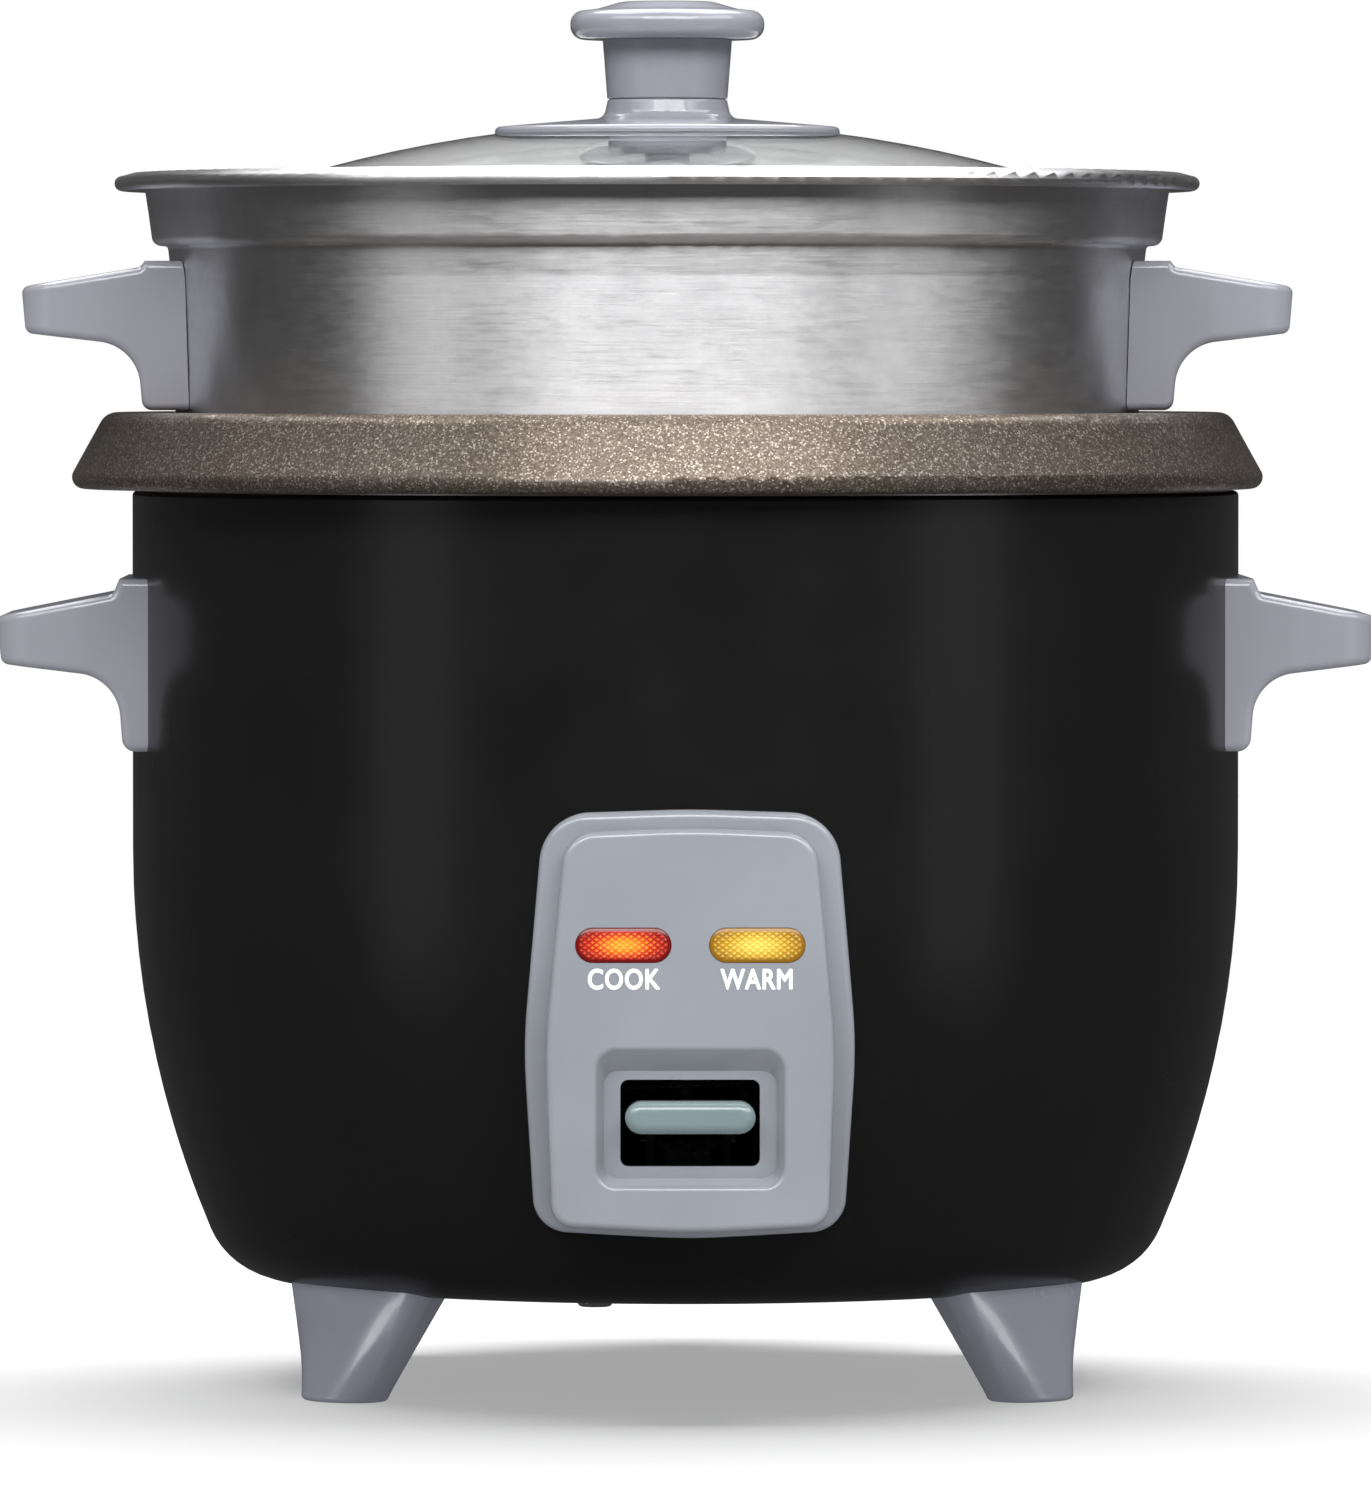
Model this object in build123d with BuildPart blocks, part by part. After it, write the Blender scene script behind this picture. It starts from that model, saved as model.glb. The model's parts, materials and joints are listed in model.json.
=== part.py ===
"""Drum rice cooker with a steamer basket and a glass lid.

Millimetres. +Z is up, the front with the switch faces -Y, and the origin is on the table, under the centre of the body.
From the outside in: feet, painted body shell, control panel, side handles, inner liner, heating plate with its sprung
heat sensor, the lever that lifts the magnet, cooking pot, steamer basket and lid.
"""

import math
import os

from build123d import *

os.makedirs("parts", exist_ok=True)


def save(part, label, shift_x=0.0):
    """Labels a finished piece and writes it as its own STEP file, moved along X by shift_x."""
    placed = part.moved(Location((shift_x, 0, 0)))
    placed.label = label
    export_step(placed, f"parts/{label}.step")


def sheet_ring(points, radii, thickness):
    """A turned sheet-metal piece: the centre line of its wall, with its bends, thickened and revolved about Z."""
    with BuildPart() as ring:
        with BuildSketch(Plane.XZ):
            with BuildLine():
                wall = FilletPolyline(*points, radius=radii)
            trace(wall, line_width=thickness)
        revolve(axis=Axis.Z)
    return ring.part


def rounded(*corners):
    """A closed outline for a line builder: each corner is (x, z, rounding radius)."""
    return FilletPolyline(*[corner[:2] for corner in corners], radius=[corner[2] for corner in corners], close=True)


def turned(*corners):
    """A turned solid from its half section: each corner is (radius, height, rounding radius)."""
    with BuildPart() as solid:
        with BuildSketch(Plane.XZ):
            with BuildLine():
                rounded(*corners)
            make_face()
        revolve(axis=Axis.Z)
    return solid.part


def polar_points(radius, angles):
    """Points at one radius and several angles in degrees, as (x, y)."""
    return [(radius * math.cos(math.radians(a)), radius * math.sin(math.radians(a))) for a in angles]


# ------------------------------------------------------------------ driving dimensions
BODY_R = 97.5  # outer radius of the body shell's straight wall
BODY_BOTTOM_Z = 18.4  # underside of the body shell
BODY_TOP_Z = 157.0
WALL_ARC_Z = 94.0  # below this height the wall curves inward
WALL_ARC_R = 172.0
BOTTOM_CORNER_R = 14.0
SHELL_T = 1.0
LIP_INNER_R = 58.8  # hole in the shell's bottom, closed by the bottom cover

POT_T = 1.5
POT_BOTTOM_Z = 71.5
POT_RIM_Z = 170.8  # top of the pot's rim

STEAMER_T = 0.8
LID_SPHERE_R = 231.0  # outer surface of the glass
LID_TOP_Z = 221.8
LID_EDGE_R = 86.2
GLASS_T = 3.6

# The loose pieces are set down a little to the left of the body's axis, each within its clearance.
POT_SHIFT_X = -3.2
STEAMER_SHIFT_X = -5.0
LID_SHIFT_X = -3.2

PANEL_FACE_Y = -101.3  # the flat face of the control panel
PANEL_T = 2.0
PIVOT_Y, PIVOT_Z = -58.0, 48.0  # axis of the cook lever, parallel to X
PLATE_TOP_Z = 71.3
PLATE_BOTTOM_Z = 60.3
LINER_FLOOR_Z = 58.4  # middle of the liner's floor sheet
LINER_T = 0.8


# ------------------------------------------------------------------ body shell
def wall_radius(z, grow=0.0):
    """Outer radius of the body shell's wall at height z, moved out by grow."""
    if z >= WALL_ARC_Z:
        return BODY_R + grow
    radius = WALL_ARC_R + grow
    return BODY_R - WALL_ARC_R + math.sqrt(radius**2 - (WALL_ARC_Z - z) ** 2)


def envelope(grow=0.0):
    """The space inside the body shell's outer surface as a solid, grown outward by grow."""
    bottom = BODY_BOTTOM_Z - grow
    centre = (BODY_R - WALL_ARC_R, WALL_ARC_Z)
    sweep = math.degrees(math.asin((WALL_ARC_Z - bottom) / (WALL_ARC_R + grow)))
    with BuildPart() as solid:
        with BuildSketch(Plane.XZ) as section:
            with BuildLine():
                Line((0, bottom), (wall_radius(bottom, grow), bottom))
                CenterArc(centre, WALL_ARC_R + grow, -sweep, sweep)
                Line((BODY_R + grow, WALL_ARC_Z), (BODY_R + grow, BODY_TOP_Z))
                Polyline((BODY_R + grow, BODY_TOP_Z), (0, BODY_TOP_Z), (0, bottom))
            make_face()
            corner = section.vertices().sort_by_distance((wall_radius(bottom, grow), 0, bottom))[0]
            fillet(corner, BOTTOM_CORNER_R + grow)
        revolve(axis=Axis.Z)
    return solid.part


outer_space = envelope()
inner_space = envelope(-SHELL_T)

WINDOW_HALF_X = 17.0  # hole in the shell behind the control panel
WINDOW_Z = (42.0, 88.0)
INLET_Z = 44.0
INLET_HALF = (15.0, 11.0)  # half width and half height of the inlet's body
HANDLE_SCREW_Z = 131.0
HANDLE_SCREW_ANGLE = 9.0  # degrees to each side of the handle's middle
SCREW_R = 1.5
HOLE_CLEARANCE = 0.05
PANEL_SCREWS = [(x, z) for x, z in ((-14.0, 96.0), (14.0, 96.0), (-18.5, 37.0), (18.5, 37.0))]
FOOT_ANGLES = {"foot_front_right": -38, "foot_rear_right": 38, "foot_rear_left": 142, "foot_front_left": 218}
FOOT_SCREW_R = 67.8  # distance of each foot's screw from the centre
FOOT_SCREW_POINTS = polar_points(FOOT_SCREW_R, FOOT_ANGLES.values())
COVER_SCREW_R = 62.0
COVER_SCREW_ANGLES = (75, 165, 255, 345)
INLET_SCREW_X = 19.0
TOP_LIP_INNER_R = 94.0

with BuildPart() as body_shell:
    add(outer_space)
    add(inner_space, mode=Mode.SUBTRACT)
    # The space inside the shell ends one sheet below its top, which leaves the turned-in lip.
    with BuildSketch(Plane.XY.offset(BODY_TOP_Z - SHELL_T)):
        Circle(TOP_LIP_INNER_R)
    extrude(amount=SHELL_T, mode=Mode.SUBTRACT)
    with BuildSketch(Plane.XY.offset(BODY_BOTTOM_Z)):
        Circle(LIP_INNER_R)
    extrude(amount=SHELL_T, mode=Mode.SUBTRACT)
    fillet(body_shell.edges().filter_by(GeomType.CIRCLE).group_by(Axis.Z)[-1].sort_by(SortBy.RADIUS)[-1], 0.9)
    with BuildSketch(Plane.XZ.offset(60)):
        with Locations((0, sum(WINDOW_Z) / 2)):
            RectangleRounded(2 * WINDOW_HALF_X, WINDOW_Z[1] - WINDOW_Z[0], 4)
        with Locations(*PANEL_SCREWS):
            Circle(SCREW_R + 0.2)
    extrude(amount=50, mode=Mode.SUBTRACT)
    with BuildSketch(Plane.XZ.offset(-60)):
        with Locations((0, INLET_Z)):
            Rectangle(2 * INLET_HALF[0] + 0.4, 2 * INLET_HALF[1] + 0.4)
        with Locations((-INLET_SCREW_X, INLET_Z), (INLET_SCREW_X, INLET_Z)):
            Circle(SCREW_R + 0.2)
    extrude(amount=-50, mode=Mode.SUBTRACT)
    for turn in (-HANDLE_SCREW_ANGLE, HANDLE_SCREW_ANGLE):
        with BuildSketch(Plane.YZ.rotated((0, 0, turn))):
            with Locations((0, HANDLE_SCREW_Z)):
                Circle(SCREW_R + 0.2)
        extrude(amount=120, both=True, mode=Mode.SUBTRACT)
    with BuildSketch(Plane.XY.offset(BODY_BOTTOM_Z)):
        with Locations(*FOOT_SCREW_POINTS):
            Circle(SCREW_R + 0.2)
        with PolarLocations(COVER_SCREW_R, 4, start_angle=COVER_SCREW_ANGLES[0]):
            Circle(SCREW_R + 0.2)
    extrude(amount=SHELL_T, mode=Mode.SUBTRACT)
save(body_shell.part, "body_shell")

# ------------------------------------------------------------------ bottom cover and its screws
COVER_R = 64.4
COVER_Z = BODY_BOTTOM_Z + SHELL_T
with BuildPart() as bottom_cover:
    with BuildSketch(Plane.XY.offset(COVER_Z)):
        Circle(COVER_R)
        for ring_r, count in ((22, 6), (34, 10), (46, 14)):
            with PolarLocations(ring_r, count):
                SlotOverall(9, 3, rotation=0, mode=Mode.SUBTRACT)
        with PolarLocations(COVER_SCREW_R, 4, start_angle=COVER_SCREW_ANGLES[0]):
            Circle(SCREW_R + 0.2, mode=Mode.SUBTRACT)
    extrude(amount=SHELL_T)
save(bottom_cover.part, "bottom_cover")


def screw(head_plane, shaft_length, head_r=3.0, head_t=1.9, shaft_r=SCREW_R):
    """A pan-head screw whose head sits on head_plane, on the side it faces, and whose shaft runs the other way."""
    with BuildPart() as one:
        with BuildSketch(head_plane):
            Circle(head_r)
        extrude(amount=head_t)
        fillet(one.edges().sort_by_distance(head_plane.origin + head_plane.z_dir * head_t)[-1:], 0.1)
        top = one.faces().sort_by_distance(head_plane.origin + head_plane.z_dir * head_t)[0]
        fillet(top.edges(), 0.7)
        with BuildSketch(head_plane.offset(head_t)):
            Rectangle(head_r * 1.1, 0.6)
            Rectangle(0.6, head_r * 1.1)
        extrude(amount=-head_t / 2, mode=Mode.SUBTRACT)
        with BuildSketch(head_plane):
            Circle(shaft_r)
        extrude(amount=-shaft_length)
    return one.part


def screws(planes, shaft_length, label, **size):
    """Several identical screws in one node."""
    with BuildPart() as group:
        for plane in planes:
            add(screw(plane, shaft_length, **size))
    save(group.part, label)


screws(
    [Plane(origin=(x, y, BODY_BOTTOM_Z), z_dir=(0, 0, -1)) for x, y in polar_points(COVER_SCREW_R, COVER_SCREW_ANGLES)],
    5.5,
    "cover_screws",
    head_t=1.2,
)

# ------------------------------------------------------------------ feet
FOOT_TOP_Z = 22.0
FOOT_REST_R = 75.5  # distance of each foot's resting face from the centre
FOOT_SCREW_DEPTH = 8.0


def foot(angle):
    """A tapered foot that splays out under the body: a wide rounded section at the top, a small oval at the table."""
    with BuildPart() as leg:
        with BuildSketch(Plane.XY.offset(FOOT_TOP_Z)) as top:
            with BuildLine():
                outer = CenterArc((0, 0), 76.0, -17, 34)
                inner = CenterArc((0, 0), 62.0, -13, 26)
                Line(outer @ 0, inner @ 0)
                Line(outer @ 1, inner @ 1)
            make_face()
            fillet(top.vertices(), 3.5)
        with BuildSketch(Plane.XY):
            with Locations((FOOT_REST_R, 0)):
                Ellipse(6.8, 8.4)
        loft()
        fillet(leg.edges().group_by(Axis.Z)[0], 0.8)
        add(outer_space, mode=Mode.SUBTRACT)
        with BuildSketch(Plane.XY.offset(BODY_BOTTOM_Z + 1)):
            with Locations((FOOT_SCREW_R, 0)):
                Circle(SCREW_R + HOLE_CLEARANCE)
        extrude(amount=-(FOOT_SCREW_DEPTH + 1.5), mode=Mode.SUBTRACT)
    return leg.part.rotate(Axis.Z, angle)


for foot_name, foot_angle in FOOT_ANGLES.items():
    save(foot(foot_angle), foot_name)

screws(
    [Plane(origin=(x, y, COVER_Z), z_dir=(0, 0, 1)) for x, y in FOOT_SCREW_POINTS],
    FOOT_SCREW_DEPTH,
    "foot_screws",
)

# ------------------------------------------------------------------ side handles of the body
HANDLE_HALF_Y = 26.0
HANDLE_TIP_X = 120.7
HANDLE_PROFILE = (
    (88.0, 111.6, 0),
    (98.4, 111.6, 2.4),
    (99.4, 124.5, 8),
    (119.8, 126.9, 0),
    (HANDLE_TIP_X, 135.2, 0),
    (100.1, 139.2, 1.5),
    (99.0, 141.8, 0),
    (88.0, 141.8, 0),
)


def handle(profile, half_y, tip_x, wall_x, soft_r):
    """A shelf-shaped handle on the +X side, before its back is cut to the wall it is mounted on."""
    back_x = profile[0][0]
    top_z = profile[-1][1]
    with BuildPart() as grip:
        with BuildSketch(Plane.XZ):
            with BuildLine():
                rounded(*profile)
            make_face()
        extrude(amount=half_y, both=True)
        with BuildSketch(Plane.XY):
            with BuildLine():
                rounded(
                    (back_x, -half_y, 0),
                    (wall_x, -half_y, 12),
                    (tip_x, 2.5 - half_y, 8),
                    (tip_x, half_y - 2.5, 8),
                    (wall_x, half_y, 12),
                    (back_x, half_y, 0),
                )
            make_face()
        extrude(amount=top_z + 1, mode=Mode.INTERSECT)
        in_front = grip.edges().filter_by(lambda edge: edge.center().X > back_x + 1)
        fillet(in_front.filter_by(lambda edge: abs(edge.center().Y) > 1 or edge.center().X > tip_x - 3), soft_r)
    return grip.part


def radial_plane(radius, angle, height, inward=True):
    """A plane on a cylinder about Z, facing its axis (or away from it)."""
    direction = Vector(math.cos(math.radians(angle)), math.sin(math.radians(angle)), 0)
    origin = direction * radius + Vector(0, 0, height)
    return Plane(origin=origin, z_dir=-direction if inward else direction)


HANDLE_SCREW_DEPTH = 8.0
HANDLE_SCREW_PLANES = [
    radial_plane(BODY_R - SHELL_T - 0.05, side + turn, HANDLE_SCREW_Z)
    for side in (0, 180)
    for turn in (-HANDLE_SCREW_ANGLE, HANDLE_SCREW_ANGLE)
]


def body_handle(label, side):
    """One side handle: the blank turned to its side, cut to the shell and bored for its two screws."""
    blank = handle(HANDLE_PROFILE, HANDLE_HALF_Y, HANDLE_TIP_X, 106, 1.5)
    with BuildPart() as grip:
        add(blank.rotate(Axis.Z, side))
        add(outer_space, mode=Mode.SUBTRACT)
        with BuildSketch(*HANDLE_SCREW_PLANES):
            Circle(SCREW_R + HOLE_CLEARANCE)
        extrude(amount=-(HANDLE_SCREW_DEPTH + 1), mode=Mode.SUBTRACT)
    save(grip.part, label)


body_handle("body_handle_right", 0)
body_handle("body_handle_left", 180)
screws(HANDLE_SCREW_PLANES, HANDLE_SCREW_DEPTH, "body_handle_screws")

# ------------------------------------------------------------------ control panel
PANEL_TOP_Z = 104.2
PANEL_BOTTOM_Z = 30.9
RECESS_MID_Z = 52.1
LAMP_X, LAMP_Z = 11.3, 81.3
LAMP_SIZE = (16.2, 5.9)
FLANGE_T = 2.0
RIM_INSET = 3.7  # how far the raised face stands in from the panel's outline
SWITCH_WINDOW = (23.6, 14.7)
SWITCH_WINDOW_Z = 51.05
FACE_PLANE = Plane.XZ.offset(-PANEL_FACE_Y)


def panel_outline(inset):
    """The panel's barrel-shaped outline, moved in by inset."""
    top, bottom = PANEL_TOP_Z - inset * 0.85, PANEL_BOTTOM_Z + inset * 0.5
    shoulder, waist, foot_x = 24.8 - inset, 28.2 - inset, 26.3 - inset * 0.8
    rounded(
        (0, top, 150),
        (shoulder, top - 0.9, 8.8 - inset * 0.8),
        (waist, 64.0, 90),
        (foot_x, bottom + 1.0, 6.0 - inset * 0.6),
        (0, bottom - 0.2, 120),
        (-foot_x, bottom + 1.0, 6.0 - inset * 0.6),
        (-waist, 64.0, 90),
        (-shoulder, top - 0.9, 8.8 - inset * 0.8),
    )


def on_flange_front(edge):
    """Whether an edge runs along the flange's outward face."""
    middle = edge @ 0.5
    return abs(math.hypot(middle.X, middle.Y) - wall_radius(middle.Z, FLANGE_T)) < 0.05


with BuildPart() as panel_flange:
    add(envelope(FLANGE_T))
    with BuildSketch(Plane.XZ.offset(60)):
        with BuildLine():
            panel_outline(0)
        make_face()
    extrude(amount=60, mode=Mode.INTERSECT)
    fillet(panel_flange.edges().filter_by(on_flange_front), 1.5)

with BuildPart() as control_panel:
    with BuildSketch(FACE_PLANE):
        with BuildLine():
            panel_outline(RIM_INSET)
        make_face()
    extrude(amount=-25, taper=-2)
    face_edges = control_panel.faces().sort_by(Axis.Y)[0].outer_wire().edges()
    fillet(face_edges, 1.2)
    add(panel_flange.part)
    # The hollow behind the face takes the lamps and the switch.
    with BuildSketch(FACE_PLANE.offset(-PANEL_T)):
        with BuildLine():
            panel_outline(RIM_INSET + PANEL_T)
        make_face()
    extrude(amount=-30, mode=Mode.SUBTRACT)
    # The tub around the switch window.
    with BuildSketch(FACE_PLANE.offset(-PANEL_T)):
        with Locations((0, RECESS_MID_Z)):
            RectangleRounded(36, 28, 4)
    extrude(amount=-3.6)
    with BuildSketch(FACE_PLANE):
        with Locations((0, RECESS_MID_Z)):
            RectangleRounded(32, 23.6, 3.5)
    with BuildSketch(FACE_PLANE.offset(-3.8)):
        with Locations((0, RECESS_MID_Z - 1.3)):
            RectangleRounded(29.2, 18.2, 2.5)
    loft(mode=Mode.SUBTRACT)
    fillet(control_panel.faces().sort_by(Axis.Y)[0].inner_wires()[0].edges(), 0.9)
    with BuildSketch(FACE_PLANE):
        with Locations((0, SWITCH_WINDOW_Z)):
            RectangleRounded(*SWITCH_WINDOW, 1.4)
        with Locations((-LAMP_X, LAMP_Z), (LAMP_X, LAMP_Z)):
            SlotOverall(LAMP_SIZE[0] + 0.1, LAMP_SIZE[1] + 0.1)
    extrude(amount=-9, mode=Mode.SUBTRACT)
    with BuildSketch(FACE_PLANE.offset(-PANEL_T)):
        with Locations(*PANEL_SCREWS):
            Circle(3.2)
    extrude(amount=-25)
    add(outer_space, mode=Mode.SUBTRACT)
    with BuildSketch(FACE_PLANE.offset(-PANEL_T)):
        with Locations(*PANEL_SCREWS):
            Circle(SCREW_R + HOLE_CLEARANCE)
    extrude(amount=-25, mode=Mode.SUBTRACT)
save(control_panel.part, "control_panel")


def panel_screw_plane(x, z):
    """Where a panel screw's head rests inside the shell: clear of the curved wall on every side of the head."""
    wall = wall_radius(z - 3, -SHELL_T)
    return Plane(origin=(x, -math.sqrt(wall**2 - (abs(x) + 3) ** 2) + 0.05, z), z_dir=(0, 1, 0))


screws([panel_screw_plane(x, z) for x, z in PANEL_SCREWS if z > LAMP_Z], 4.0, "panel_screws_upper")
screws([panel_screw_plane(x, z) for x, z in PANEL_SCREWS if z < LAMP_Z], 12.0, "panel_screws_lower")


def lamp_lens(label, x):
    """A domed lens held from behind by its flange."""
    with BuildPart() as lens:
        with BuildSketch(FACE_PLANE.offset(-PANEL_T)):
            with Locations((x, LAMP_Z)):
                SlotOverall(LAMP_SIZE[0] + 1.8, LAMP_SIZE[1] + 1.8)
        extrude(amount=-0.8)
        with BuildSketch(FACE_PLANE.offset(-PANEL_T)):
            with Locations((x, LAMP_Z)):
                SlotOverall(*LAMP_SIZE)
        extrude(amount=PANEL_T + 0.45)
        fillet(lens.faces().sort_by(Axis.Y)[0].edges(), 0.6)
    save(lens.part, label)


lamp_lens("lamp_lens_cook", -LAMP_X)
lamp_lens("lamp_lens_warm", LAMP_X)

with BuildPart() as lamp_board:
    with BuildSketch(FACE_PLANE.offset(-3.6)):
        with Locations((0, LAMP_Z)):
            RectangleRounded(38, 9, 1)
    extrude(amount=-1.0)
save(lamp_board.part, "lamp_board")

with BuildPart() as lamps:
    with BuildSketch(FACE_PLANE.offset(-3.6)):
        with Locations((-LAMP_X, LAMP_Z), (LAMP_X, LAMP_Z)):
            Rectangle(4, 2.4)
    extrude(amount=0.7)
save(lamps.part, "lamps")

# ------------------------------------------------------------------ cook lever with its bracket
LEVER_HALF_X = 4.0
LEVER_T = 1.6
FORK_Z = 28.85
CHEEK_X = 6.0
PIN_R = 1.5

with BuildPart() as cook_lever:
    with BuildSketch(Plane.YZ):
        with BuildLine():
            strip = FilletPolyline(
                (-99.5, 52.2), (-80, 52.2), (PIVOT_Y, PIVOT_Z), (-36, FORK_Z), (9, FORK_Z), radius=(6, 4, 5)
            )
        trace(strip, line_width=LEVER_T)
    extrude(amount=LEVER_HALF_X, both=True)
    with BuildSketch(Plane.XY.offset(FORK_Z - LEVER_T / 2)):
        with Locations((0, -3)):
            Rectangle(14, 24)
    extrude(amount=LEVER_T)
    with BuildSketch(Plane.XY.offset(FORK_Z - LEVER_T / 2)):
        with Locations((0, 3)):
            Rectangle(5.6, 14)
    extrude(amount=LEVER_T, mode=Mode.SUBTRACT)
    with BuildSketch(Plane.YZ):
        with Locations((PIVOT_Y, PIVOT_Z)):
            Circle(3.5)
    extrude(amount=CHEEK_X - 0.3, both=True)
    with BuildSketch(Plane.YZ):
        with Locations((PIVOT_Y, PIVOT_Z)):
            Circle(PIN_R + 0.06)
    extrude(amount=CHEEK_X, both=True, mode=Mode.SUBTRACT)
save(cook_lever.part, "cook_lever")

PADDLE_Z = 52.2
PADDLE_SIZE = (22.0, 5.6)
with BuildPart() as switch_paddle:
    with BuildSketch(FACE_PLANE.offset(-2.2)):
        with Locations((0, PADDLE_Z)):
            SlotOverall(*PADDLE_SIZE)
    extrude(amount=4.4)
    fillet(switch_paddle.faces().sort_by(Axis.Y)[0].edges(), 1.8)
    with BuildSketch(FACE_PLANE.offset(-2.2)):
        with Locations((0, PADDLE_Z)):
            Rectangle(12, 4.4)
    extrude(amount=-7)
    with BuildSketch(Plane.YZ):
        with Locations((-95.5, PADDLE_Z)):
            Rectangle(8.2, LEVER_T + 0.04)
    extrude(amount=LEVER_HALF_X + 0.05, both=True, mode=Mode.SUBTRACT)
save(switch_paddle.part, "switch_paddle")

BRACKET_T = 1.2
BRACKET_FLOOR_Z = COVER_Z + SHELL_T
with BuildPart() as lever_bracket:
    with BuildSketch(Plane.YZ.offset(CHEEK_X)):
        with BuildLine():
            rounded(
                (-65, BRACKET_FLOOR_Z, 0),
                (-65, 30, 4),
                (-63, 52, 3),
                (-53, 52, 3),
                (-51, 30, 4),
                (-51, BRACKET_FLOOR_Z, 0),
            )
        make_face()
    extrude(amount=BRACKET_T)
    mirror(about=Plane.YZ)
    with BuildSketch(Plane.XY.offset(BRACKET_FLOOR_Z)):
        with Locations((0, -58)):
            Rectangle(2 * (CHEEK_X + BRACKET_T), 14)
    extrude(amount=BRACKET_T)
    with BuildSketch(Plane.YZ):
        with Locations((PIVOT_Y, PIVOT_Z)):
            Circle(PIN_R + 0.03)
    extrude(amount=CHEEK_X + 2, both=True, mode=Mode.SUBTRACT)
save(lever_bracket.part, "lever_bracket")

with BuildPart() as pivot_pin:
    with BuildSketch(Plane.YZ):
        with Locations((PIVOT_Y, PIVOT_Z)):
            Circle(PIN_R)
    extrude(amount=CHEEK_X + BRACKET_T + 1, both=True)
    with BuildSketch(Plane.YZ.offset(CHEEK_X + BRACKET_T + 0.1)):
        with Locations((PIVOT_Y, PIVOT_Z)):
            Circle(2.6)
    extrude(amount=0.9)
    mirror(about=Plane.YZ)
save(pivot_pin.part, "pivot_pin")

# ------------------------------------------------------------------ contact block beside the lever
BLOCK_MID = (18.0, -56.0)
with BuildPart() as contact_block:
    with BuildSketch(Plane.XY.offset(BRACKET_FLOOR_Z)):
        with Locations(BLOCK_MID):
            RectangleRounded(12, 14, 1.5)
    extrude(amount=20)
    for slot_z in (30.0, 37.0):
        with BuildSketch(Plane.XY.offset(slot_z)):
            with Locations((BLOCK_MID[0], BLOCK_MID[1] + 1)):
                Rectangle(6.06, 14)
        extrude(amount=0.56, mode=Mode.SUBTRACT)
save(contact_block.part, "contact_block")

with BuildPart() as contact_blades:
    for slot_z in (30.0, 37.0):
        with BuildSketch(Plane.XY.offset(slot_z + 0.03)):
            with Locations((BLOCK_MID[0], BLOCK_MID[1] + 12)):
                Rectangle(6, 34)
        extrude(amount=0.5)
    with BuildSketch(Plane.XY.offset(30.5)):
        with Locations((BLOCK_MID[0], BLOCK_MID[1] + 26)):
            Circle(2.2)
    extrude(amount=1.6)
    with BuildSketch(Plane.XY.offset(35.4)):
        with Locations((BLOCK_MID[0], BLOCK_MID[1] + 26)):
            Circle(2.2)
    extrude(amount=1.7)
save(contact_blades.part, "contact_blades")

# ------------------------------------------------------------------ inner liner, heating plate and element
STANDOFF_R = 66.0
STANDOFF_ANGLES = (30, 150, 270)
ELEMENT_R, ELEMENT_TUBE_R = 52.0, 3.25
ELEMENT_Z = 63.2
PLATE_R = 72.0
SENSOR_HOLE_R = 19.0
STANDOFF_TOP_Z = 64.3
BRACKET_SCREW_X = 32.0

liner_floor_top = LINER_FLOOR_Z + LINER_T / 2
with BuildPart() as inner_liner:
    add(
        sheet_ring(
            ((96.4, 157.4), (92.1, 157.4), (92.0, LINER_FLOOR_Z), (60, LINER_FLOOR_Z)),
            (1.2, 10),
            LINER_T,
        )
    )
    with BuildSketch(Plane.XY.offset(LINER_FLOOR_Z - 1)):
        with PolarLocations(STANDOFF_R, 3, start_angle=STANDOFF_ANGLES[0]):
            Circle(2.0 + 0.2)
    extrude(amount=2, mode=Mode.SUBTRACT)
save(inner_liner.part, "inner_liner")

with BuildPart() as heating_plate:
    add(
        turned(
            (SENSOR_HOLE_R, 63.5, 0),
            (SENSOR_HOLE_R, PLATE_TOP_Z, 0),
            (70.0, PLATE_TOP_Z, 3),
            (PLATE_R, PLATE_TOP_Z - 2.5, 3),
            (PLATE_R, STANDOFF_TOP_Z, 1),
            (61.5, STANDOFF_TOP_Z, 1),
            (59.0, PLATE_BOTTOM_Z, 1),
            (45.0, PLATE_BOTTOM_Z, 1),
            (42.0, STANDOFF_TOP_Z, 1),
            (22.4, STANDOFF_TOP_Z, 0),
            (21.6, 63.5, 0),
        )
    )
    with BuildSketch(Plane.XZ):
        with Locations((ELEMENT_R, ELEMENT_Z)):
            Circle(ELEMENT_TUBE_R + 0.05)
        with Locations((ELEMENT_R, ELEMENT_Z - 4)):
            Rectangle(2 * (ELEMENT_TUBE_R + 0.05), 8)
    revolve(axis=Axis.Z, mode=Mode.SUBTRACT)
    with BuildSketch(Plane.XY.offset(STANDOFF_TOP_Z - 1)):
        with PolarLocations(STANDOFF_R, 3, start_angle=STANDOFF_ANGLES[0]):
            Circle(2.0 + HOLE_CLEARANCE)
        with Locations((-BRACKET_SCREW_X, 0), (BRACKET_SCREW_X, 0)):
            Circle(SCREW_R + HOLE_CLEARANCE)
    extrude(amount=5, mode=Mode.SUBTRACT)
save(heating_plate.part, "heating_plate")

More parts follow.
